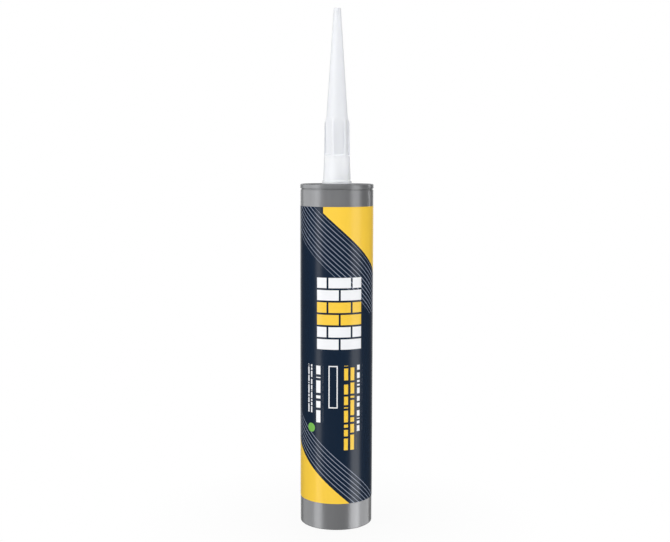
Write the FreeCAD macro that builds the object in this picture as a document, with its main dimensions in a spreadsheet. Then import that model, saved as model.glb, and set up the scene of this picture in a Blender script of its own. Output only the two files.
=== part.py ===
# Sealant cartridge: a moulded barrel with a wrap-round label, filled with sealant,
# closed behind by a sliding piston and fitted in front with a screw-on nozzle.
# The frame stands the cartridge on its open rear end: +Z runs along it towards the
# nozzle tip, the origin is the centre of the rear end, and -Y faces the viewer.

import FreeCAD
import Part
import Sketcher

import os
import re

# Driving sizes, in millimetres unless the name says degrees or count.
SIZES = {
    # barrel
    "barrel_outer_d": 48.0,
    "barrel_length": 227.0,
    "barrel_wall": 1.3,
    "mouth_step": 0.3,
    "mouth_length": 10.0,
    "edge_bevel": 0.6,
    "rim_height": 3.0,
    "rim_proud": 0.15,
    "rim_bevel": 0.7,
    "rim_inner_bevel": 0.3,
    "groove_height": 0.8,
    "groove_depth": 0.5,
    "head_recess": 4.0,
    "head_thickness": 2.2,
    "head_corner_bevel": 1.0,
    "head_rib_count": 12,
    "head_rib_thickness": 1.2,
    "head_rib_below_rim": 1.0,
    "rib_root": 0.4,
    # threaded neck
    "collar_d": 18.4,
    "seat_below_rim": 0.1,
    "neck_height": 16.0,
    "neck_core_d": 12.6,
    "neck_bore_d": 9.6,
    "thread_depth": 0.9,
    "thread_pitch": 3.0,
    "thread_turns": 3.25,
    "thread_root_width": 1.7,
    "thread_crest_width": 0.7,
    "thread_start": 2.6,
    "thread_sunk": 0.25,
    # nozzle
    "socket_clearance": 0.3,
    "socket_roof_gap": 0.6,
    "flange_d": 19.4,
    "flange_thickness": 2.1,
    "flange_bevel": 0.3,
    "skirt_d": 18.1,
    "skirt_length": 18.2,
    "ledge_d": 16.9,
    "grip_length": 21.5,
    "shoulder_d": 16.4,
    "shoulder_length": 3.5,
    "shoulder_round": 7.0,
    "shoulder_hollow": 2.5,
    "cone_d": 14.0,
    "cone_length": 70.1,
    "tip_d": 4.6,
    "tip_bevel": 0.4,
    "tip_bore_d": 2.8,
    "tip_bore_length": 4.0,
    "nozzle_wall": 1.05,
    "flat_count": 6,
    "flat_width": 6.6,
    "flat_from_axis": 7.1,
    "ledge_rise": 1.2,
    "flat_turn_degrees": 9.4,
    # piston
    "piston_recess": 22.5,
    "piston_height": 19.0,
    "piston_clearance": 0.06,
    "lip_height": 2.4,
    "lip_relief": 0.5,
    "lip_bevel": 0.8,
    "crown_bevel": 2.0,
    "piston_skirt_wall": 1.3,
    "piston_web": 1.8,
    "piston_rib_count": 12,
    "piston_rib_thickness": 1.2,
    "piston_rib_recess": 6.0,
    "hub_d": 11.0,
    "hub_wall": 1.3,
    # sealant and label
    "fill_clearance": 0.05,
    "label_bottom": 17.8,
    "label_height": 194.8,
    "label_thickness": 0.12,
    "label_glue": 0.02,
    "label_gap_degrees": 1.5,
}

# Lengths that follow from the driving sizes, written with the cell names.
OUTER_R = "(barrel_outer_d / 2)"
BORE_R = "(barrel_outer_d / 2 - barrel_wall)"
MOUTH_R = f"({BORE_R} + mouth_step)"
RIM_R = f"({OUTER_R} + rim_proud)"
HEAD_TOP = "(barrel_length - head_recess)"
HEAD_UNDER = f"({HEAD_TOP} - head_thickness)"
SEAT = "(barrel_length - seat_below_rim)"
THREAD_R = "(neck_core_d / 2 + thread_depth)"
SOCKET_R = f"({THREAD_R} + socket_clearance)"
SOCKET_DEPTH = "(neck_height + socket_roof_gap)"
SHOULDER_FOOT = "(skirt_length + grip_length)"
CONE_FOOT = f"({SHOULDER_FOOT} + shoulder_length)"
TIP = f"({CONE_FOOT} + cone_length)"
NOZZLE_BORE_R = "(cone_d / 2 - nozzle_wall)"
LIP_R = f"({BORE_R} - piston_clearance)"
PISTON_INNER_R = f"({LIP_R} - lip_relief - piston_skirt_wall)"
PISTON_FRONT = "(piston_recess + piston_height)"


def withCells(formula):
    """The formula with each cell name written as a reference to the sheet."""
    return re.sub(r"[a-z_]+[a-z]\b", lambda m: "sizes." + m.group(0), formula)


def bind(item, path, formula):
    item.setExpression(path, withCells(formula))


def makeSheet(doc):
    sheet = doc.addObject("Spreadsheet::Sheet", "sizes")
    for row, (name, value) in enumerate(SIZES.items(), start=1):
        sheet.set(f"A{row}", name)
        sheet.set(f"B{row}", str(value))
        sheet.setAlias(f"B{row}", name)
    doc.recompute()
    return sheet


def newBody(doc, name):
    body = doc.addObject("PartDesign::Body", name)
    body.Label = name
    return body


def newSketch(body, name, plane, lift=None):
    """A sketch on one of the body's own origin planes, raised along the plane's normal by a formula."""
    sketch = body.newObject("Sketcher::SketchObject", name)
    support = next(f for f in body.Origin.OriginFeatures if f.Role == plane)
    sketch.AttachmentSupport = [(support, "")]
    sketch.MapMode = "FlatFace"
    if lift:
        bind(sketch, "AttachmentOffset.Base.z", lift)
    return sketch


def drawOutline(sketch, corners):
    """A closed outline of straight lines with its corners at the formulas given."""
    spots = [
        FreeCAD.Vector(*(float(sketch.evalExpression(withCells(f))) for f in corner), 0)
        for corner in corners
    ]
    count = len(spots)
    for i in range(count):
        sketch.addGeometry(Part.LineSegment(spots[i], spots[(i + 1) % count]))
    for i in range(count):
        sketch.addConstraint(Sketcher.Constraint("Coincident", i, 2, (i + 1) % count, 1))
    for i, corner in enumerate(corners):
        for kind, spot, formula in zip(("DistanceX", "DistanceY"), spots[i], corner):
            number = sketch.addConstraint(Sketcher.Constraint(kind, -1, 1, i, 1, spot))
            bind(sketch, f"Constraints[{number}]", formula)


def revolve(body, name, corners, kind="PartDesign::Revolution"):
    """A full turn of an outline of (radius, height) corners about the body's upright axis."""
    sketch = newSketch(body, name + "_outline", "XZ_Plane")
    drawOutline(sketch, corners)
    turn = body.newObject(kind, name)
    turn.Profile = sketch
    turn.ReferenceAxis = (sketch, ["V_Axis"])
    turn.Angle = 360
    body.Document.recompute()
    return turn


def dressRings(body, name, kind, rings, size):
    """Rounds or bevels the circular edges at the (radius, height) formulas given."""
    shape = body.Tip.Shape
    wanted = [[float(body.evalExpression(withCells(f))) for f in ring] for ring in rings]
    names = []
    for number, edge in enumerate(shape.Edges, start=1):
        if not isinstance(edge.Curve, Part.Circle):
            continue
        here = (edge.Curve.Radius, edge.Curve.Center.z)
        if any(abs(here[0] - r) < 1e-4 and abs(here[1] - z) < 1e-4 for r, z in wanted):
            names.append(f"Edge{number}")
    if len(names) < len(rings):
        raise ValueError(f"{name}: found {len(names)} of {len(rings)} edges")
    base = body.Tip
    dressing = body.newObject("PartDesign::" + kind, name)
    dressing.Base = (base, names)
    bind(dressing, "Radius" if kind == "Fillet" else "Size", size)
    body.Document.recompute()
    return dressing


def aroundAxis(body, name, feature, count):
    """Repeats a feature evenly about the upright axis."""
    pattern = body.newObject("PartDesign::PolarPattern", name)
    pattern.Originals = [feature]
    pattern.Axis = (next(f for f in body.Origin.OriginFeatures if f.Role == "Z_Axis"), [""])
    pattern.Angle = 360
    bind(pattern, "Occurrences", count)
    body.Tip = pattern
    body.Document.recompute()
    return pattern


def rectangle(sketch, low_x, high_x, half_y):
    drawOutline(
        sketch,
        [
            (low_x, f"-{half_y}"),
            (high_x, f"-{half_y}"),
            (high_x, half_y),
            (low_x, half_y),
        ],
    )


def makeBarrel(doc):
    """The moulded barrel: tube, ribbed head, rim and threaded neck in one piece."""
    body = newBody(doc, "barrel")
    rim_under = "(barrel_length - rim_height)"
    groove_r = f"({OUTER_R} - groove_depth)"
    neck_top = f"({SEAT} + neck_height)"
    revolve(
        body,
        "tube_and_head",
        [
            (MOUTH_R, "0"),
            (OUTER_R, "0"),
            (OUTER_R, f"{rim_under} - groove_height"),
            (groove_r, f"{rim_under} - groove_height"),
            (groove_r, rim_under),
            (RIM_R, rim_under),
            (RIM_R, "barrel_length"),
            (BORE_R, "barrel_length"),
            (BORE_R, HEAD_TOP),
            ("collar_d / 2", HEAD_TOP),
            ("collar_d / 2", SEAT),
            ("neck_core_d / 2", SEAT),
            ("neck_core_d / 2", neck_top),
            ("neck_bore_d / 2", neck_top),
            ("neck_bore_d / 2", HEAD_UNDER),
            (BORE_R, HEAD_UNDER),
            (BORE_R, "mouth_length"),
            (MOUTH_R, "mouth_length"),
        ],
    )
    dressRings(body, "rim_edge", "Chamfer", [(RIM_R, "barrel_length")], "rim_bevel")
    dressRings(body, "rim_inside_edge", "Chamfer", [(BORE_R, "barrel_length")], "rim_inner_bevel")
    end_edges = [(OUTER_R, "0"), ("neck_core_d / 2", neck_top)]
    dressRings(body, "end_edges", "Chamfer", end_edges, "edge_bevel")
    dressRings(body, "head_corner", "Chamfer", [(BORE_R, HEAD_UNDER)], "head_corner_bevel")

    rib_sketch = newSketch(body, "head_rib_outline", "XY_Plane", HEAD_TOP)
    rectangle(rib_sketch, "collar_d / 2 - rib_root", f"{BORE_R} + rib_root", "head_rib_thickness / 2")
    rib = body.newObject("PartDesign::Pad", "head_rib")
    rib.Profile = rib_sketch
    bind(rib, "Length", "head_recess - head_rib_below_rim")
    doc.recompute()
    aroundAxis(body, "head_ribs", rib, "head_rib_count")

    thread_sketch = newSketch(body, "thread_outline", "XZ_Plane")
    start = f"({SEAT} + thread_start)"
    drawOutline(
        thread_sketch,
        [
            ("neck_core_d / 2 - thread_sunk", f"{start} - thread_root_width / 2"),
            (THREAD_R, f"{start} - thread_crest_width / 2"),
            (THREAD_R, f"{start} + thread_crest_width / 2"),
            ("neck_core_d / 2 - thread_sunk", f"{start} + thread_root_width / 2"),
        ],
    )
    thread = body.newObject("PartDesign::AdditiveHelix", "neck_thread")
    thread.Profile = thread_sketch
    thread.ReferenceAxis = (thread_sketch, ["V_Axis"])
    thread.Mode = 0
    bind(thread, "Pitch", "thread_pitch")
    bind(thread, "Height", "thread_pitch * thread_turns")
    doc.recompute()
    return body


def makeNozzle(doc):
    """The screw-on nozzle, drawn from its own seat up and turned so that a flat faces the viewer."""
    body = newBody(doc, "nozzle")
    revolve(
        body,
        "skirt_and_cone",
        [
            (SOCKET_R, "0"),
            ("flange_d / 2", "0"),
            ("flange_d / 2", "flange_thickness"),
            ("skirt_d / 2", "flange_thickness"),
            ("ledge_d / 2", "skirt_length"),
            ("shoulder_d / 2", SHOULDER_FOOT),
            ("cone_d / 2", CONE_FOOT),
            ("tip_d / 2", TIP),
            ("tip_bore_d / 2", TIP),
            ("tip_bore_d / 2", f"{TIP} - tip_bore_length"),
            (NOZZLE_BORE_R, CONE_FOOT),
            (NOZZLE_BORE_R, SOCKET_DEPTH),
            (SOCKET_R, SOCKET_DEPTH),
        ],
    )
    dressRings(body, "shoulder", "Fillet", [("shoulder_d / 2", SHOULDER_FOOT)], "shoulder_round")
    dressRings(body, "cone_foot", "Fillet", [("cone_d / 2", CONE_FOOT)], "shoulder_hollow")
    dressRings(body, "tip_edge", "Chamfer", [("tip_d / 2", TIP)], "tip_bevel")
    flange_edge = [("flange_d / 2", "flange_thickness")]
    dressRings(body, "flange_edge", "Chamfer", flange_edge, "flange_bevel")
    flat_sketch = newSketch(body, "flat_outline", "XZ_Plane")
    drawOutline(
        flat_sketch,
        [
            ("flat_from_axis", "skirt_length + ledge_rise"),
            ("ledge_d / 2", "skirt_length"),
            ("flange_d", "skirt_length"),
            ("flange_d", f"{CONE_FOOT} + shoulder_hollow"),
            ("flat_from_axis", f"{CONE_FOOT} + shoulder_hollow"),
        ],
    )
    flat = body.newObject("PartDesign::Pocket", "grip_flat")
    flat.Profile = flat_sketch
    flat.SideType = "Symmetric"
    bind(flat, "Length", "flat_width")
    doc.recompute()
    aroundAxis(body, "grip_flats", flat, "flat_count")
    bind(body, "Placement.Base.z", SEAT)
    body.Placement.Rotation = FreeCAD.Rotation(FreeCAD.Vector(0, 0, 1), 1)
    bind(body, "Placement.Rotation.Angle", "flat_turn_degrees - 90")
    doc.recompute()
    return body


def makePiston(doc):
    """The piston: a cup open to the rear, with two sealing lips, a hub and radial ribs."""
    body = newBody(doc, "piston")
    skirt_r = f"({LIP_R} - lip_relief)"
    web_under = "(piston_height - piston_web)"
    front_lip_top = "(piston_height - crown_bevel)"
    revolve(
        body,
        "cup",
        [
            (PISTON_INNER_R, "0"),
            (f"{LIP_R} - lip_bevel / 2", "0"),
            (LIP_R, "lip_bevel"),
            (LIP_R, "lip_height"),
            (skirt_r, "lip_height + lip_relief"),
            (skirt_r, f"{front_lip_top} - lip_height - lip_relief"),
            (LIP_R, f"{front_lip_top} - lip_height"),
            (LIP_R, front_lip_top),
            (f"{LIP_R} - crown_bevel", "piston_height"),
            ("0", "piston_height"),
            ("0", web_under),
            ("hub_d / 2 - hub_wall", web_under),
            ("hub_d / 2 - hub_wall", "piston_rib_recess"),
            ("hub_d / 2", "piston_rib_recess"),
            ("hub_d / 2", web_under),
            (PISTON_INNER_R, web_under),
        ],
    )
    rib_sketch = newSketch(body, "piston_rib_outline", "XY_Plane", "piston_rib_recess")
    rectangle(rib_sketch, "hub_d / 2 - rib_root", f"{PISTON_INNER_R} + rib_root", "piston_rib_thickness / 2")
    rib = body.newObject("PartDesign::Pad", "piston_rib")
    rib.Profile = rib_sketch
    bind(rib, "Length", f"{web_under} - piston_rib_recess + rib_root")
    doc.recompute()
    aroundAxis(body, "piston_ribs", rib, "piston_rib_count")
    bind(body, "Placement.Base.z", "piston_recess")
    doc.recompute()
    return body


def makeSealant(doc):
    """The fill, from the piston's crown to the mouth of the neck."""
    body = newBody(doc, "sealant")
    fill_r = f"({BORE_R} - fill_clearance)"
    plug_r = "(neck_bore_d / 2 - fill_clearance)"
    front = f"({HEAD_UNDER} - fill_clearance)"
    rear = f"({PISTON_FRONT} + fill_clearance)"
    revolve(
        body,
        "fill",
        [
            ("0", rear),
            (f"{fill_r} - crown_bevel", rear),
            (fill_r, f"{rear} - crown_bevel"),
            (fill_r, f"{front} - head_corner_bevel"),
            (f"{fill_r} - head_corner_bevel", front),
            (plug_r, front),
            (plug_r, f"{SEAT} + neck_height - edge_bevel"),
            ("0", f"{SEAT} + neck_height - edge_bevel"),
        ],
    )
    return body


def makeLabel(doc):
    """The film label, wrapped round the barrel with its two ends meeting behind."""
    body = newBody(doc, "label")
    glue_r = f"({OUTER_R} + label_glue)"
    label_r = f"({OUTER_R} + label_glue + label_thickness)"
    label_top = "(label_bottom + label_height)"
    turn = revolve(
        body,
        "wrap",
        [
            (glue_r, "label_bottom"),
            (label_r, "label_bottom"),
            (label_r, label_top),
            (glue_r, label_top),
        ],
    )
    bind(turn, "Angle", "360 - label_gap_degrees")
    body.Placement.Rotation = FreeCAD.Rotation(FreeCAD.Vector(0, 0, 1), 1)
    bind(body, "Placement.Rotation.Angle", "90 + label_gap_degrees / 2")
    doc.recompute()
    return body


def main():
    doc = FreeCAD.newDocument("cartridge")
    makeSheet(doc)
    makers = (makeBarrel, makeNozzle, makePiston, makeSealant, makeLabel)
    bodies = [make(doc) for make in makers]
    doc.recompute()
    for item in doc.Objects:
        if {"Invalid", "Error"} & set(item.State):
            raise RuntimeError(f"{item.Name} failed: {item.State}")
    os.makedirs("parts", exist_ok=True)
    for body in bodies:
        shape = body.Shape
        if shape.isNull() or not shape.isValid() or not shape.Solids:
            raise RuntimeError(f"{body.Label} has no valid solid")
        shape.exportStep(os.path.join("parts", body.Label + ".step"))
        box = shape.optimalBoundingBox(False, False)
        print(
            f"{body.Label}: {len(shape.Solids)} solid, {shape.Volume / 1000:.2f} ml, "
            f"z {box.ZMin:.2f} to {box.ZMax:.2f}, across {box.XLength:.2f}"
        )


main()
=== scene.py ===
import math

import bmesh
import bpy
from mathutils import Matrix, Vector


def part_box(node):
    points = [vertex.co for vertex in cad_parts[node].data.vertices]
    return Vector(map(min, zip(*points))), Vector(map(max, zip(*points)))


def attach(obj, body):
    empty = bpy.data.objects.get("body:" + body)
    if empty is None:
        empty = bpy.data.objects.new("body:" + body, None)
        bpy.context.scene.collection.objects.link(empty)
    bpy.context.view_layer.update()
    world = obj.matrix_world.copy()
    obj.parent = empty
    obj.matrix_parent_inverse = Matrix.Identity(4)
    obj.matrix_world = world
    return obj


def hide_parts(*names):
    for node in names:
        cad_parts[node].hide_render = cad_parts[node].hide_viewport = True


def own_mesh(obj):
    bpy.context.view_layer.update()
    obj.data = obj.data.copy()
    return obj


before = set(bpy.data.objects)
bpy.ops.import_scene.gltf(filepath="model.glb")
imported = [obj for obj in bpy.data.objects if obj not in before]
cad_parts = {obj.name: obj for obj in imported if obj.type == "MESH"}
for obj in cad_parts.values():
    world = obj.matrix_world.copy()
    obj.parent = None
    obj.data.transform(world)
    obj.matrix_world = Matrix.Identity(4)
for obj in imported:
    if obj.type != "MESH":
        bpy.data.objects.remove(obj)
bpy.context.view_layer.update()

scene = bpy.context.scene
mm = 0.001  # one millimetre in scene units


# Shader maths: a wrapped socket, and one method that makes every other node

class Wire:
    def __init__(self, paint, socket):
        self.paint = paint
        self.socket = socket

    def math(self, operation, *others, clamp=False):
        settings = {"operation": operation, "use_clamp": clamp}
        return self.paint.node("ShaderNodeMath", settings, dict(enumerate((self, *others))))

    def __add__(self, other):
        return self.math("ADD", other)

    def __sub__(self, other):
        return self.math("SUBTRACT", other)

    def __rsub__(self, other):
        return self * -1 + other

    def __mul__(self, other):
        return self.math("MULTIPLY", other)

    def __truediv__(self, other):
        return self.math("DIVIDE", other)

    def __mod__(self, other):
        return self.math("FLOORED_MODULO", other)

    def __or__(self, other):  # either mask
        return self.math("MAXIMUM", other)

    def __and__(self, other):  # both masks
        return self.math("MINIMUM", other)

    def below(self, limit, soft):  # 1 under the limit and 0 over it, with an edge as wide as soft
        return ((self - limit) / -soft).math("ADD", 0.5, clamp=True)

    def between(self, low, high, soft):
        return self.below(high, soft) & (1 - self.below(low, soft))


class Paint:
    def __init__(self, name, tree=None, output="ShaderNodeOutputMaterial"):
        self.material = None if tree else bpy.data.materials.new(name)
        if self.material:
            self.material.use_nodes = True
        self.tree = tree or self.material.node_tree
        self.tree.nodes.clear()
        self.output = self.tree.nodes.new(output)

    def node(self, kind, settings=None, sockets=None, result=0):
        made = self.tree.nodes.new(kind)
        for key, value in (settings or {}).items():
            setattr(made, key, value)
        for key, value in (sockets or {}).items():
            self.feed(made.inputs[key], value)
        return Wire(self, made.outputs[result])

    def feed(self, socket, value):
        if isinstance(value, Wire):
            self.tree.links.new(value.socket, socket)
        elif socket.type == "RGBA" and len(value) == 3:
            socket.default_value = (*value, 1)
        else:
            socket.default_value = value

    def mix(self, factor, first, second):  # from the first colour to the second
        sockets = {0: factor, 6: first, 7: second}
        return self.node("ShaderNodeMix", {"data_type": "RGBA"}, sockets, 2)

    def place(self):  # the spot in metres from the centre of the rear end
        return self.node("ShaderNodeTexCoord", result="Object")

    def axes(self, spot):
        split = self.node("ShaderNodeSeparateXYZ", sockets={0: spot}).socket.node
        return [Wire(self, split.outputs[axis]) for axis in "XYZ"]

    def ray(self, kind):  # 1 for rays of that kind
        return Wire(self, self.node("ShaderNodeLightPath").socket.node.outputs[f"Is {kind} Ray"])

    def noise(self, spot, scale, detail=2.0):
        sockets = {"Vector": spot, "Scale": scale, "Detail": detail}
        return self.node("ShaderNodeTexNoise", sockets=sockets)

    def spread(self, noise, middle, width):  # noise as values round a middle one
        return noise * width + (middle - width / 2)

    def bump(self, height, depth):
        return self.node("ShaderNodeBump", sockets={"Height": height, "Distance": depth})

    def surface(self, **sockets):
        named = {key.replace("_", " "): value for key, value in sockets.items()}
        self.feed(self.output.inputs["Surface"], self.node("ShaderNodeBsdfPrincipled", sockets=named))
        return self.material


def either(masks):
    joined = masks[0]
    for mask in masks[1:]:
        joined = joined | mask
    return joined


def screen(red, green, blue):  # a colour as the screen shows it, turned into linear light
    shares = [step / 255 for step in (red, green, blue)]
    return tuple(c / 12.92 if c <= 0.04045 else ((c + 0.055) / 1.055) ** 2.4 for c in shares)


# Shapes, in millimetres

def boxOf(node):
    return [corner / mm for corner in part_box(node)]


def softened(corners, steps=4):  # (r, z) corners, those with a third number rounded to that radius
    spots = []
    for i, corner in enumerate(corners):
        here = Vector(corner[:2])
        if len(corner) == 2:
            spots.append(corner)
            continue
        back = (Vector(corners[i - 1][:2]) - here).normalized()
        on = (Vector(corners[(i + 1) % len(corners)][:2]) - here).normalized()
        half = back.angle(on) / 2
        middle = here + (back + on).normalized() * (corner[2] / math.sin(half))
        first = here + back * (corner[2] / math.tan(half)) - middle
        last = here + on * (corner[2] / math.tan(half)) - middle
        turn = first.angle(last)
        for k in range(steps + 1):
            share = k / steps
            spot = first * math.sin((1 - share) * turn) + last * math.sin(share * turn)
            spots.append(tuple(middle + spot / math.sin(turn)))
    return spots


def makeThing(name, spots, faces, material, sharpAngle=35, weld=1e-7):
    mesh = bpy.data.meshes.new(name)
    mesh.from_pydata([Vector(spot) * mm for spot in spots], [], faces)
    tidy = bmesh.new()
    tidy.from_mesh(mesh)
    bmesh.ops.remove_doubles(tidy, verts=tidy.verts, dist=weld)
    bmesh.ops.dissolve_degenerate(tidy, edges=tidy.edges, dist=weld / 10)
    bmesh.ops.recalc_face_normals(tidy, faces=tidy.faces)
    tidy.to_mesh(mesh)
    tidy.free()
    thing = bpy.data.objects.new(name, mesh)
    scene.collection.objects.link(thing)
    return finishMesh(thing, material, sharpAngle)


def finishMesh(thing, material, sharpAngle=35):
    thing.data.materials.clear()
    thing.data.materials.append(material)
    for face in thing.data.polygons:
        face.use_smooth = True
    thing.data.set_sharp_from_angle(angle=math.radians(sharpAngle))
    return thing


def skin(name, loops, material, sharpAngle=35):  # a closed run of loops that all have as many spots
    count = len(loops[0])
    faces = []
    for i in range(len(loops)):
        here, above = i * count, (i + 1) % len(loops) * count
        for j in range(count):
            k = (j + 1) % count
            faces.append((here + j, here + k, above + k, above + j))
    return makeThing(name, [spot for loop in loops for spot in loop], faces, material, sharpAngle)


def ring(radius, height, segments):  # the radius is a number, or a function of the turn and height
    spots = []
    for j in range(segments):
        turn = 2 * math.pi * j / segments
        reach = radius(turn, height) if callable(radius) else radius
        spots.append((reach * math.cos(turn), reach * math.sin(turn), height))
    return spots


def lathe(name, profile, material, segments=192):
    return skin(name, [ring(r, z, segments) for r, z in profile], material)


def slab(lowX, highX, thickness, lowZ, highZ, turn, edge):  # an upright rib with rounded edges
    shape = bmesh.new()
    bmesh.ops.create_cube(shape, size=1)
    size = Vector((highX - lowX, thickness, highZ - lowZ)) * mm
    centre = Vector(((lowX + highX) / 2, 0, (lowZ + highZ) / 2)) * mm
    bmesh.ops.scale(shape, vec=size, verts=shape.verts)
    bmesh.ops.translate(shape, vec=centre, verts=shape.verts)
    bmesh.ops.bevel(shape, geom=shape.edges[:], offset=edge * mm, segments=2, affect="EDGES", profile=0.5)
    bmesh.ops.rotate(shape, matrix=Matrix.Rotation(turn, 3, "Z"), verts=shape.verts)
    mesh = bpy.data.meshes.new("slab")
    shape.to_mesh(mesh)
    shape.free()
    thing = bpy.data.objects.new("slab", mesh)
    scene.collection.objects.link(thing)
    return thing


def unite(thing, others, material, sharpAngle=35):
    for other in others:
        step = thing.modifiers.new("unite", "BOOLEAN")
        step.operation = "UNION"
        step.solver = "MANIFOLD"
        step.object = other
    solved = thing.evaluated_get(bpy.context.evaluated_depsgraph_get())
    thing.data = bpy.data.meshes.new_from_object(solved)
    thing.modifiers.clear()
    for other in others:
        bpy.data.objects.remove(other)
    return finishMesh(thing, material, sharpAngle)


def ridgeAt(turn, height, thread):  # how far a thread stands out from its wall there
    atAngle = turn / (2 * math.pi)
    along = (height - thread["start"]) / thread["pitch"]
    turns = round(along - atAngle) + atAngle
    fromEnd = min(turns, thread["turns"] - turns) / thread["fade"]
    if fromEnd <= 0:
        return 0
    off = abs(along - turns) * thread["pitch"]
    half, crest = thread["foot"] / 2, thread["crest"] / 2
    shape = min(1, max(0, (half - off) / (half - crest)))
    return thread["depth"] * shape * min(1, fromEnd)


# Driving sizes, read from the frame in millimetres
barrelHigh = boxOf("barrel")[1]
nozzleLow, nozzleHigh = boxOf("nozzle")
labelLow, labelHigh = boxOf("label")
pistonLow, pistonHigh = boxOf("piston")
fillHigh = boxOf("sealant")[1]
seat = nozzleLow.z
neckTop = barrelHigh.z
rimR = barrelHigh.x
labelR = -labelLow.y
seatBelowRim = 0.1
filmThickness = 0.12
filmGlue = 0.02
wallThickness = 1.3
headRecess = 4.0
headThickness = 2.2
pasteGap = 0.05  # between the paste and what holds it
onAxis = 0.01  # radius of the ring that closes a turned piece on its axis
rimTop = seat + seatBelowRim
bodyR = labelR - filmThickness - filmGlue
boreR = bodyR - wallThickness
headTop = rimTop - headRecess
headUnder = headTop - headThickness


# Finishes

def paintBarrel():
    look = {
        "grey": screen(145, 146, 148),
        "mottle": 0.05,  # share by which the grey varies
        "metallic": 0.4,  # the silver pigment in the plastic
        "roughness": 0.24,
        "roughnessSpread": 0.08,
        "stretch": (1, 1, 0.06),  # draws the mottle out along the axis
        "mottleScale": 420,
        "grainScale": 5200,
        "grainDepth": 0.00002,
    }
    paint = Paint("barrelPlastic")
    spot = paint.place()
    streaks = paint.node("ShaderNodeVectorMath", {"operation": "MULTIPLY"}, {0: spot, 1: look["stretch"]})
    cloud = paint.noise(streaks, look["mottleScale"], 3)
    pale = tuple(c * (1 + look["mottle"]) for c in look["grey"])
    deep = tuple(c * (1 - look["mottle"]) for c in look["grey"])
    grain = paint.noise(spot, look["grainScale"], 2)
    return paint.surface(
        Base_Color=paint.mix(cloud, deep, pale),
        Metallic=look["metallic"],
        Roughness=paint.spread(cloud, look["roughness"], look["roughnessSpread"]),
        Normal=paint.bump(grain, look["grainDepth"]),
    )


def paintNozzle():
    look = {
        # painted light: the skirt low on the nozzle gets a lighter white than the cone, making up for the
        # shade it sits in above the barrel's rim
        "skirtPaintedLight": screen(240, 242, 245),
        "coneWhite": screen(232, 234, 238),  # the skirt's white above is painted lighter than this cone white, a painted highlight for the light the barrel's rim keeps off the skirt
        "skirtLightTo": seat + 18,  # mm up the axis
        "skirtLightFade": 4.0,
        # painted shade: the last millimetres up to the tip get a darker white, standing in for the shade
        # along its rim and outline
        "tipPaintedShade": screen(226, 228, 232),
        "tipShadeFrom": nozzleHigh.z - 4,
        "tipShadeFade": 12.0,
        "roughness": 0.3,
        "roughnessSpread": 0.08,
        "scatter": 0.35,
        "scatterDepth": 0.001,
        "scatterShare": (1.0, 1.0, 1.1),
        "rippleScale": 160,
        "rippleDepth": 0.00008,
    }
    paint = Paint("nozzlePlastic")
    spot = paint.place()
    x, y, z = paint.axes(spot)
    ripple = paint.noise(spot, look["rippleScale"])
    up = z / mm
    # painted light: whiter low down on the skirt, the plain cone white above it
    white = paint.mix(up.below(look["skirtLightTo"], look["skirtLightFade"]), look["coneWhite"], look["skirtPaintedLight"])
    return paint.surface(
        # painted shade: darker white towards the tip
        Base_Color=paint.mix(up.below(look["tipShadeFrom"], look["tipShadeFade"]), look["tipPaintedShade"], white),
        Roughness=paint.spread(ripple, look["roughness"], look["roughnessSpread"]),
        Subsurface_Weight=look["scatter"],
        Subsurface_Scale=look["scatterDepth"],
        Subsurface_Radius=look["scatterShare"],
        Normal=paint.bump(ripple, look["rippleDepth"]),
    )


def paintCloudy(name, look):  # one colour that wanders between a deep and a pale one
    paint = Paint(name)
    cloud = paint.noise(paint.place(), look["scale"], 3)
    return paint.surface(
        Base_Color=paint.mix(cloud, look["deep"], look["pale"]),
        Roughness=paint.spread(cloud, look["roughness"], look["roughnessSpread"]),
        Normal=paint.bump(cloud, look["depth"]),
    )


def paintPiston():
    return paintCloudy("pistonPlastic", {
        "deep": screen(222, 222, 217),
        "pale": screen(234, 234, 230),
        "scale": 900,
        "depth": 0.00003,
        "roughness": 0.45,
        "roughnessSpread": 0.1,
    })


def paintPaste():
    return paintCloudy("sealantPaste", {
        "deep": screen(226, 226, 221),
        "pale": screen(240, 240, 236),
        "scale": 380,
        "depth": 0.0003,
        "roughness": 0.27,
        "roughnessSpread": 0.1,
    })


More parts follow.
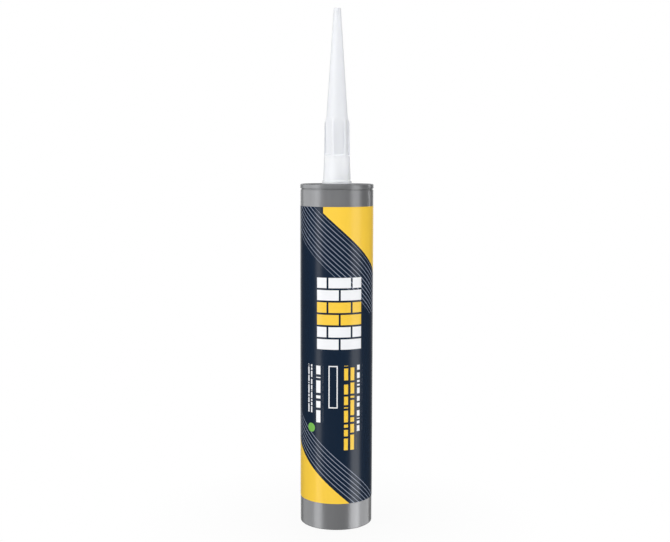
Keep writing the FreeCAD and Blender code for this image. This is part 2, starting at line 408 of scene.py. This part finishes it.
def paintLabel():
    tall = labelHigh.z - labelLow.z
    look = {
        "navy": screen(15, 33, 53),
        "yellow": screen(248, 204, 66),
        "white": screen(240, 241, 244),
        "pale": screen(146, 154, 172),
        "green": screen(120, 186, 84),
        "edge": 0.16,  # mm over which a printed edge softens
        "roughness": 0.25,
        "roughnessSpread": 0.06,
        "shine": 0.44,
        "rippleScale": 90,
        "rippleDepth": 0.00006,
    }
    # places in mm: across from the middle of the front, up from the film's lower edge
    slants = {
        "slope": 0.9,  # fall of the slanted lines, mm for each mm to the right
        "reach": 40,  # how far round the front they go to each side
        "linePitch": 3.2,
        "lineWidth": 0.55,
        "headFrom": tall - 12,
        "headLeft": -9,
        "headLow": tall - 60,
        "headLines": (tall - 46, tall - 14),
        "headLinesLow": tall - 70,
        "footTo": 8,
        "footRight": 12,
        "footHigh": 40,
        "footLines": (10, 33),
        "footLinesHigh": 60,
    }
    wall = {
        "left": -14,
        "right": 18,
        "low": 102,
        "blockLength": 16,
        "blockHeight": 8,
        "shift": 2,
        "joint": 1.3,
        "coursesInBand": 2,
    }
    words = {"gap": 0.55, "second": 1.62}  # shares of a dash's width and of a row's period
    rows = {  # upright rows of dashes in place of lines of print
        "yellow": [dict(left=5, columns=2, pitch=4.4, width=2.7, low=36, high=92, word=6.0)],
        "white": [
            dict(left=14.2, columns=1, pitch=4.4, width=2.2, low=48, high=92, word=5.0),
            dict(left=-14, columns=1, pitch=5, width=3.2, low=54, high=92, word=7.0),
            dict(left=-21, columns=2, pitch=2.6, width=1.2, low=60, high=92, word=4.0),
        ],
        "back": [
            dict(left=44, columns=12, pitch=2.6, width=1.2, low=40, high=150, word=3.6),
            dict(left=-72, columns=10, pitch=2.6, width=1.2, low=70, high=176, word=3.6),
        ],
    }
    outline = {"left": -5.2, "right": 0.8, "low": 64, "high": 92, "line": 0.7}
    roundSpot = {"across": -18, "up": 50, "radius": 3, "edge": 1.2}

    soft = look["edge"]
    far = 3 * tall  # past the ends of the film, also along the slant
    paint = Paint("labelFilm")
    spot = paint.place()
    x, y, z = paint.axes(spot)
    across = x.math("ARCTAN2", y * -1) * labelR
    up = z / mm - labelLow.z
    slant = up + across * slants["slope"]

    def panel(left, right, low, high):
        return across.between(left, right, soft) & up.between(low, high, soft)

    # slanted fields with fine lines beside them, at the head and turned round at the foot
    pitch, width, reach = slants["linePitch"], slants["lineWidth"], slants["reach"]
    fineLines = (slant % pitch).between(pitch / 2 - width / 2, pitch / 2 + width / 2, soft)
    head = slant.between(slants["headFrom"], far, soft)
    head = head & panel(slants["headLeft"], reach, slants["headLow"], far)
    headLines = fineLines & slant.between(*slants["headLines"], soft)
    headLines = headLines & panel(-reach, reach, slants["headLinesLow"], far)
    foot = slant.between(-far, slants["footTo"], soft)
    foot = foot & panel(-reach, slants["footRight"], -far, slants["footHigh"])
    footLines = fineLines & slant.between(*slants["footLines"], soft)
    footLines = footLines & panel(-reach, reach, -far, slants["footLinesHigh"])

    # courses of blocks in running bond, with half blocks at the ends
    def band(number):
        long, high, half = wall["blockLength"], wall["blockHeight"], wall["joint"] / 2
        low = wall["low"] + number * wall["coursesInBand"] * high
        course = ((up - low) / high).math("FLOOR")
        along = (across - wall["shift"] + course * (long / 2)) % long
        block = along.between(half, long - half, soft)
        block = block & ((up - low) % high).between(half, high - half, soft)
        top = low + wall["coursesInBand"] * high
        return block & panel(wall["left"] + half, wall["right"] - half, low, top)

    def dashes(left, columns, pitch, width, low, high, word):
        column = ((across - left) / pitch).math("FLOOR")
        chance = paint.node("ShaderNodeTexWhiteNoise", {"noise_dimensions": "1D"}, {"W": column + left})
        period = chance * word + word
        longer = period * words["second"]
        gap = width * words["gap"]
        dash = ((up - low) % period).between(0, period - gap, soft)
        dash = dash & ((up - low) % longer).between(0, longer - gap, soft)
        line = ((across - left) % pitch).between(0, width, soft)
        return dash & line & panel(left, left + columns * pitch, low, high)

    left, right, low, high, line = outline.values()
    box = panel(left, right, low, high) & (1 - panel(left + line, right - line, low + line, high - line))
    aside, above = across - roundSpot["across"], up - roundSpot["up"]
    dot = (aside * aside + above * above).below(roundSpot["radius"] ** 2, roundSpot["edge"])

    yellowRows, whiteRows, backRows = [
        either([dashes(**row) for row in rows[name]]) for name in ("yellow", "white", "back")]
    film = paint.mix(headLines | footLines | backRows, look["navy"], look["pale"])
    film = paint.mix(head | foot | band(1) | yellowRows, film, look["yellow"])
    film = paint.mix(band(0) | band(2) | whiteRows | box, film, look["white"])
    film = paint.mix(dot, film, look["green"])
    ripple = paint.noise(spot, look["rippleScale"])
    return paint.surface(
        Base_Color=film,
        Roughness=paint.spread(ripple, look["roughness"], look["roughnessSpread"]),
        Specular_IOR_Level=look["shine"],
        Normal=paint.bump(ripple, look["rippleDepth"]),
    )


# Pieces

def makeBarrel(material):
    shape = {
        "mouthR": boreR + 0.3,
        "mouthLength": 10,
        "grooveR": bodyR - 0.5,
        "rimUnder": rimTop - 3.0,
        "grooveUnder": rimTop - 3.8,
        "collarR": 9.2,
        "neckR": 6.3,
        "neckBoreR": 4.8,
        "ribCount": 12,
        "ribThickness": 1.2,
        "ribTop": rimTop - 1.0,
        "ribFoot": headTop - 0.6,
        "ribRoot": 0.4,  # how far a rib's ends reach into the walls
        "ribEdge": 0.25,
        "ringStep": 0.12,  # mm between the rings that carry the thread
        "ringsFrom": seat + 0.2,
        "ringsTo": neckTop - 0.8,
    }
    thread = {
        "start": seat + 2.6,
        "pitch": 3.0,
        "turns": 3.25,
        "foot": 1.7,
        "crest": 0.7,
        "depth": 0.9,
        "fade": 0.12,
    }

    def neckR(turn, height):
        return shape["neckR"] + ridgeAt(turn, height, thread)

    outside = softened([
        (shape["mouthR"], 0, 0.2),
        (bodyR, 0, 0.7),
        (bodyR, shape["grooveUnder"], 0.2),
        (shape["grooveR"], shape["grooveUnder"], 0.12),
        (shape["grooveR"], shape["rimUnder"], 0.12),
        (rimR, shape["rimUnder"], 0.3),
        (rimR, rimTop, 0.9),
        (boreR, rimTop, 0.4),
        (boreR, headTop, 0.5),
        (shape["collarR"], headTop, 0.4),
        (shape["collarR"], seat, 0.25),
        (shape["neckR"], seat),
        (shape["neckR"], neckTop, 0.4),
        (shape["neckBoreR"], neckTop, 0.3),
        (shape["neckBoreR"], headUnder, 0.4),
        (boreR, headUnder, 1.0),
        (boreR, shape["mouthLength"]),
        (shape["mouthR"], shape["mouthLength"]),
    ])
    foot = outside.index((shape["neckR"], seat))
    steps = int((shape["ringsTo"] - shape["ringsFrom"]) / shape["ringStep"])
    threaded = [(neckR, shape["ringsFrom"] + i * shape["ringStep"]) for i in range(steps)]
    barrel = lathe("barrelShell", outside[:foot + 1] + threaded + outside[foot + 1:], material)
    ribs = []
    for i in range(shape["ribCount"]):
        turn = 2 * math.pi * i / shape["ribCount"]
        reach = (shape["collarR"] - shape["ribRoot"], boreR + shape["ribRoot"])
        height = (shape["ribFoot"], shape["ribTop"])
        ribs.append(slab(*reach, shape["ribThickness"], *height, turn, shape["ribEdge"]))
    return unite(barrel, ribs, material)


def makeNozzle(material):
    shape = {
        "socketR": 7.5,
        "socketDepth": 16.6,
        "flangeThickness": 2.1,
        "skirtR": 9.05,
        "skirtLength": 18.2,
        "ledgeR": 8.45,
        "gripLength": 21.5,
        "shoulderR": 8.2,
        "shoulderLength": 3.5,
        "coneR": 7.0,
        "boreR": 5.95,
        "tipR": 2.3,
        "tipBoreR": 1.4,
        "tipBoreLength": 4,
        "flatCount": 6,
        "flatWidth": 6.6,
        "flatFromAxis": 7.1,
        "ledgeRise": 1.2,
        "ledgeShares": (0.12, 0.5, 0.9, 1),  # rings on the sloping ledge, up to the root of the flats
        "flatTurn": 9.4 - 90,  # degrees from +X to the middle of the first flat
        "flatSpots": 14,
        "ribSpots": 5,
        "roundSteps": 14,
        "ringStep": 0.16,  # mm between the rings that carry the thread
        "ringsBelowRoof": 0.5,
    }
    thread = {
        "start": seat + 1.1,
        "pitch": 3.0,
        "turns": 3.6,
        "foot": 1.5,
        "crest": 0.7,
        "depth": 0.7,
        "fade": 0.15,
    }
    ledge = seat + shape["skirtLength"]
    shoulder = ledge + shape["gripLength"]
    cone = shoulder + shape["shoulderLength"]
    tip = nozzleHigh.z
    halfWidth = shape["flatWidth"] / 2
    cornerTurn = math.atan2(halfWidth, shape["flatFromAxis"])

    def loop(radius, height, flat=None):  # one ring, cut by the flats where a distance is given
        spots = []
        for k in range(shape["flatCount"]):
            middle = math.radians(shape["flatTurn"]) + 2 * math.pi * k / shape["flatCount"]
            half = min(halfWidth, radius * math.sin(cornerTurn))
            local = []
            for j in range(shape["flatSpots"] + 1):
                aside = half * (2 * j / shape["flatSpots"] - 1)
                reach = math.sqrt(radius ** 2 - aside ** 2)
                local.append((min(reach, flat) if flat else reach, aside))
            corner = math.asin(half / radius)
            gap = 2 * math.pi / shape["flatCount"] - 2 * corner
            for j in range(shape["ribSpots"] + 1):
                turn = corner + gap * j / shape["ribSpots"]
                local.append((radius * math.cos(turn), radius * math.sin(turn)))
            for along, aside in local:
                spots.append((
                    along * math.cos(middle) - aside * math.sin(middle),
                    along * math.sin(middle) + aside * math.cos(middle),
                    height,
                ))
        return spots

    def threadLoop(height):
        spots = []
        for x, y, z in loop(shape["socketR"], height):
            reach = shape["socketR"] - ridgeAt(math.atan2(y, x) % (2 * math.pi), height, thread)
            spots.append((x * reach / shape["socketR"], y * reach / shape["socketR"], z))
        return spots

    skirt = softened([
        (shape["socketR"], seat, 0.2),
        (nozzleHigh.x, seat, 0.25),
        (nozzleHigh.x, seat + shape["flangeThickness"], 0.35),
        (shape["skirtR"], seat + shape["flangeThickness"], 0.3),
        (shape["ledgeR"], ledge),
    ])
    upper = softened([
        (shape["ledgeR"], ledge),
        (shape["shoulderR"], shoulder, 7),
        (shape["coneR"], cone, 2.5),
        (shape["tipR"], tip, 0.5),
        (shape["tipBoreR"], tip, 0.15),
        (shape["tipBoreR"], tip - shape["tipBoreLength"]),
        (shape["boreR"], cone),
        (shape["boreR"], seat + shape["socketDepth"], 0.2),
        (shape["socketR"], seat + shape["socketDepth"]),
    ], shape["roundSteps"])
    flat = shape["flatFromAxis"]
    loops = [loop(r, z) for r, z in skirt]
    for share in shape["ledgeShares"]:
        cut = shape["ledgeR"] + (flat - shape["ledgeR"]) * share
        loops.append(loop(shape["ledgeR"], ledge + shape["ledgeRise"] * share, cut))
    for r, z in upper[1:]:
        outside = r > (shape["boreR"] + shape["coneR"]) / 2 and z > ledge
        loops.append(loop(r, z, flat if outside else None))
    highest = seat + shape["socketDepth"] - shape["ringsBelowRoof"]
    steps = int((shape["socketDepth"] - 2 * shape["ringsBelowRoof"]) / shape["ringStep"])
    for i in range(steps):
        loops.append(threadLoop(highest - i * shape["ringStep"]))
    return skin("screwNozzle", loops, material, sharpAngle=24)


def makeLabel(material):
    shape = {"gapDegrees": 1.5, "segments": 240}
    inner = labelR - filmThickness
    corners = ((inner, labelLow.z), (labelR, labelLow.z), (labelR, labelHigh.z), (inner, labelHigh.z))
    loops = []
    for i in range(shape["segments"] + 1):  # from one side of the gap behind, round to the other
        spread = 360 - shape["gapDegrees"]
        turn = math.radians(90 + shape["gapDegrees"] / 2 + spread * i / shape["segments"])
        loops.append([(r * math.cos(turn), r * math.sin(turn), z) for r, z in corners])
    faces = [tuple(range(4)), tuple(4 * shape["segments"] + k for k in range(4))]
    for i in range(shape["segments"]):
        for j in range(4):
            k = (j + 1) % 4
            faces.append((4 * i + j, 4 * i + k, 4 * i + 4 + k, 4 * i + 4 + j))
    return makeThing("wrapLabel", [spot for loop in loops for spot in loop], faces, material)


def makePiston(material):
    shape = {
        "lipR": pistonHigh.x,
        "waistR": pistonHigh.x - 0.5,
        "innerR": pistonHigh.x - 1.8,
        "lipHeight": 2.4,
        "lipBevel": (0.4, 0.8),  # across and up
        "waistSlope": 0.5,
        "web": 1.8,
        "crown": 2.0,
        "hubR": 5.5,
        "hubWall": 1.3,
        "ribRecess": 6.0,
        "ribCount": 12,
        "ribThickness": 1.2,
        "ribRoot": 0.4,
        "ribEdge": 0.25,
    }
    low, high = pistonLow.z, pistonHigh.z
    waistLow = low + shape["lipHeight"] + shape["waistSlope"]
    webUnder = high - shape["web"]
    frontLip = high - shape["crown"]
    waistHigh = frontLip - shape["lipHeight"] - shape["waistSlope"]
    bevelAcross, bevelUp = shape["lipBevel"]
    ribLow = low + shape["ribRecess"]
    cup = softened([
        (shape["innerR"], low, 0.2),
        (shape["lipR"] - bevelAcross, low, 0.2),
        (shape["lipR"], low + bevelUp, 0.3),
        (shape["lipR"], low + shape["lipHeight"], 0.3),
        (shape["waistR"], waistLow, 0.3),
        (shape["waistR"], waistHigh, 0.3),
        (shape["lipR"], frontLip - shape["lipHeight"], 0.3),
        (shape["lipR"], frontLip, 0.4),
        (shape["lipR"] - shape["crown"], high, 0.8),
        (onAxis, high),
        (onAxis, webUnder),
        (shape["hubR"] - shape["hubWall"], webUnder, 0.3),
        (shape["hubR"] - shape["hubWall"], ribLow, 0.2),
        (shape["hubR"], ribLow, 0.2),
        (shape["hubR"], webUnder, 0.3),
        (shape["innerR"], webUnder, 0.5),
    ])
    piston = lathe("pistonCup", cup, material, 128)
    ribs = []
    for i in range(shape["ribCount"]):
        turn = 2 * math.pi * i / shape["ribCount"]
        reach = (shape["hubR"] - shape["ribRoot"], shape["innerR"] + shape["ribRoot"])
        height = (ribLow, webUnder + shape["ribRoot"])
        ribs.append(slab(*reach, shape["ribThickness"], *height, turn, shape["ribEdge"]))
    return unite(piston, ribs, material)


def makeFill(material):
    bevel = 2.0
    outer = fillHigh.x
    front = headUnder - pasteGap
    rear = pistonHigh.z + pasteGap
    profile = softened([
        (onAxis, rear),
        (outer - bevel, rear, 0.8),
        (outer, rear - bevel, 0.8),
        (outer, front, 1.2),
        (onAxis, front),
    ])
    return lathe("sealantFill", profile, material, 128)


def makePlug(material):
    plugR = 4.75
    crownR = 2.4
    shoulder = 0.5
    dip = 0.15
    top = fillHigh.z
    profile = softened([
        (onAxis, headUnder - pasteGap),
        (plugR, headUnder - pasteGap),
        (plugR, top - shoulder, 0.6),
        (crownR, top, 3.0),
        (onAxis, top - dip),
    ])
    return lathe("neckPlug", profile, material, 96)


print("making the pieces")
barrel = makeBarrel(paintBarrel())
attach(barrel, "barrel")
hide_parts("barrel")

label = makeLabel(paintLabel())
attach(label, "barrel")
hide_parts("label")

nozzle = makeNozzle(paintNozzle())
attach(nozzle, "nozzle")
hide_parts("nozzle")

piston = makePiston(paintPiston())
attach(piston, "piston")
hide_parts("piston")

paste = paintPaste()
fill = makeFill(paste)
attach(fill, "barrel")
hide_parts("sealant")
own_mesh(fill)

plug = makePlug(paste)
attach(plug, "barrel")


# The studio

def makeFloor():
    look = {
        "size": 6.0,
        "colour": (0.5, 0.5, 0.5),
        "nearGlow": 0.94,  # share of the glow close to the object, where a faint shadow stays
        "nearRadius": 0.025,
        "clearRadius": 0.14,
    }
    bpy.ops.mesh.primitive_plane_add(size=look["size"])
    floor = bpy.context.object
    floor.name = "floor"
    floor.visible_glossy = False
    floor.visible_diffuse = False  # so that light from below reaches into the rear mouth
    floor.visible_shadow = False
    paint = Paint("floorWhite")
    x, y, z = paint.axes(paint.place())
    away = (x * x + y * y).math("SQRT")
    near, far = look["nearRadius"], look["clearRadius"]
    clear = 1 - away.below((near + far) / 2, far - near)
    seen = either([paint.ray(kind) for kind in ("Camera", "Glossy", "Transmission")])
    lit = paint.node("ShaderNodeBsdfDiffuse", sockets={"Color": look["colour"]})
    glow = paint.node("ShaderNodeEmission", sockets={"Color": (1, 1, 1), "Strength": 1.0})
    share = (clear * (1 - look["nearGlow"]) + look["nearGlow"]) & seen
    pale = paint.node("ShaderNodeMixShader", sockets={0: share, 1: lit, 2: glow})
    through = paint.node("ShaderNodeBsdfTransparent")
    under = paint.node("ShaderNodeNewGeometry").socket.node.outputs["Backfacing"]
    both = paint.node("ShaderNodeMixShader", sockets={0: Wire(paint, under), 1: pale, 2: through})
    paint.feed(paint.output.inputs["Surface"], both)
    floor.data.materials.append(paint.material)


def makeWorld():
    look = {
        "fill": 0.38,  # what matt surfaces get from all round
        "front": 0.08,  # what reflections get from the viewer's side
        "backdrop": 1.0,  # what they get from behind the object
        "backdropFrom": 0.8,
        "backdropTo": 1.0,
    }
    scene.world = bpy.data.worlds.new("studio")
    scene.world.use_nodes = True
    paint = Paint("studio", scene.world.node_tree, "ShaderNodeOutputWorld")
    aim = paint.node("ShaderNodeTexCoord", result="Generated")
    x, y, z = paint.axes(aim)
    near, far = look["backdropFrom"], look["backdropTo"]
    backdrop = 1 - y.below((near + far) / 2, far - near)
    mirrored = backdrop * (look["backdrop"] - look["front"]) + look["front"]
    glossy = paint.ray("Glossy")
    other = (1 - glossy) * look["fill"] + glossy * mirrored
    strength = paint.ray("Camera") | paint.ray("Transmission") | other
    sky = paint.node("ShaderNodeBackground", sockets={"Color": (1, 1, 1), "Strength": strength})
    paint.feed(paint.output.inputs["Surface"], sky)


def makeLamp(name, turn, up, size, radiance, away=0.9, gloss=True, lit=(), aimHeight=0.17):
    light = bpy.data.lights.new(name, "AREA")
    light.shape = "RECTANGLE"
    light.size, light.size_y = size
    light.energy = radiance * math.pi * light.size * light.size_y
    lamp = bpy.data.objects.new(name, light)
    turn = math.radians(turn)
    lamp.location = (away * math.sin(turn), -away * math.cos(turn), up)
    aim = Vector((0, 0, aimHeight)) - lamp.location
    lamp.rotation_euler = aim.to_track_quat("-Z", "Y").to_euler()
    scene.collection.objects.link(lamp)
    lamp.visible_glossy = gloss
    lamp.visible_diffuse = not gloss
    if lit:
        pieces = bpy.data.collections.new(name + "Lit")
        for piece in lit:
            pieces.objects.link(piece)
        lamp.light_linking.receiver_collection = pieces


def makeLamps():
    inner = (piston, fill, plug)
    # turn in degrees to the viewer's right, then metres up, wide and tall, and away from the axis;
    # a lamp shows in reflections alone, or without gloss in matt light alone, on the pieces it names
    lamps = {
        "leftStrip": dict(turn=-58, up=0.1, size=(0.28, 1.6), radiance=1.8, lit=(label, *inner)),
        "headStrip": dict(turn=-63, up=0.4, size=(0.3, 1.0), radiance=1.45, lit=(barrel,)),
        "leftSoftbox": dict(turn=-64, up=0.6, size=(0.6, 1.6), radiance=2.0, gloss=False),
        "rightStrip": dict(turn=61.6, up=0.1, size=(0.5, 1.6), radiance=1.35),
        "rightSoftbox": dict(
            turn=63, away=1.0, up=0.1, size=(0.6, 1.6), radiance=1.5, gloss=False,
            lit=(label, nozzle, *inner)),
        "rightLow": dict(turn=64, up=-0.4, size=(0.58, 0.7), radiance=1.15),
        "frontSoftbox": dict(turn=8, away=1.4, up=0.9, size=(1.2, 1.2), radiance=1.95, gloss=False),
        "rearSoftbox": dict(turn=180, away=1.4, up=0.8, size=(1.4, 1.4), radiance=2.4, gloss=False),
        "topSoftbox": dict(turn=0, away=0.1, up=1.4, size=(1.0, 1.0), radiance=0.8, gloss=False),
        "leftGlow": dict(turn=-102, up=0.4, size=(1.1, 1.0), radiance=1.0, lit=(barrel,)),
        "leftLow": dict(turn=-107, up=-0.4, size=(1.0, 0.5), radiance=0.62, lit=(barrel,)),
        "leftLowStrip": dict(turn=-62, up=-0.4, size=(0.45, 0.5), radiance=1.95, lit=(barrel,)),
        "rightGlow": dict(turn=104, up=-0.4, size=(1.1, 0.5), radiance=1.35, lit=(barrel,)),
        "rightEdge": dict(turn=123, up=0.4, size=(0.08, 0.6), radiance=3.0, lit=(barrel,)),
        "lowSoftbox": dict(
            turn=-30, away=1.1, up=-0.1, size=(1.4, 0.6), radiance=0.9, gloss=False,
            lit=(barrel, label)),
        "underSoftbox": dict(
            turn=20, away=0.2, up=-1.0, size=(0.8, 0.8), radiance=1.6, gloss=False, lit=(piston,)),
        "nozzleSide": dict(turn=-46, up=0.3, size=(0.86, 1.2), radiance=2.4, lit=(nozzle,)),
        "nozzleGlow": dict(turn=-102, up=0.3, size=(1.0, 1.2), radiance=1.9, lit=(nozzle,)),
        "nozzleFill": dict(turn=76, up=0.4, size=(0.8, 1.0), radiance=0.2, gloss=False, lit=(nozzle,)),
    }
    for name, values in lamps.items():
        makeLamp(name, **values)


def makeCamera():
    view = {
        "away": 0.72,
        "aside": -0.0013,
        "height": 0.2407,
        "pitchDegrees": 6.22,
        "rollDegrees": 0.14,
        "lens": 58.56,
        "shiftY": 0.01575,
    }
    lens = bpy.data.cameras.new("camera")
    lens.sensor_width = 36
    lens.lens = view["lens"]
    lens.shift_y = view["shiftY"]
    camera = bpy.data.objects.new("camera", lens)
    camera.location = (view["aside"], -view["away"], view["height"])
    camera.rotation_euler = (math.radians(90 - view["pitchDegrees"]), -math.radians(view["rollDegrees"]), 0)
    scene.collection.objects.link(camera)
    scene.camera = camera


print("setting up the studio")
makeFloor()
makeWorld()
makeLamps()
makeCamera()
scene.view_settings.view_transform = "Standard"
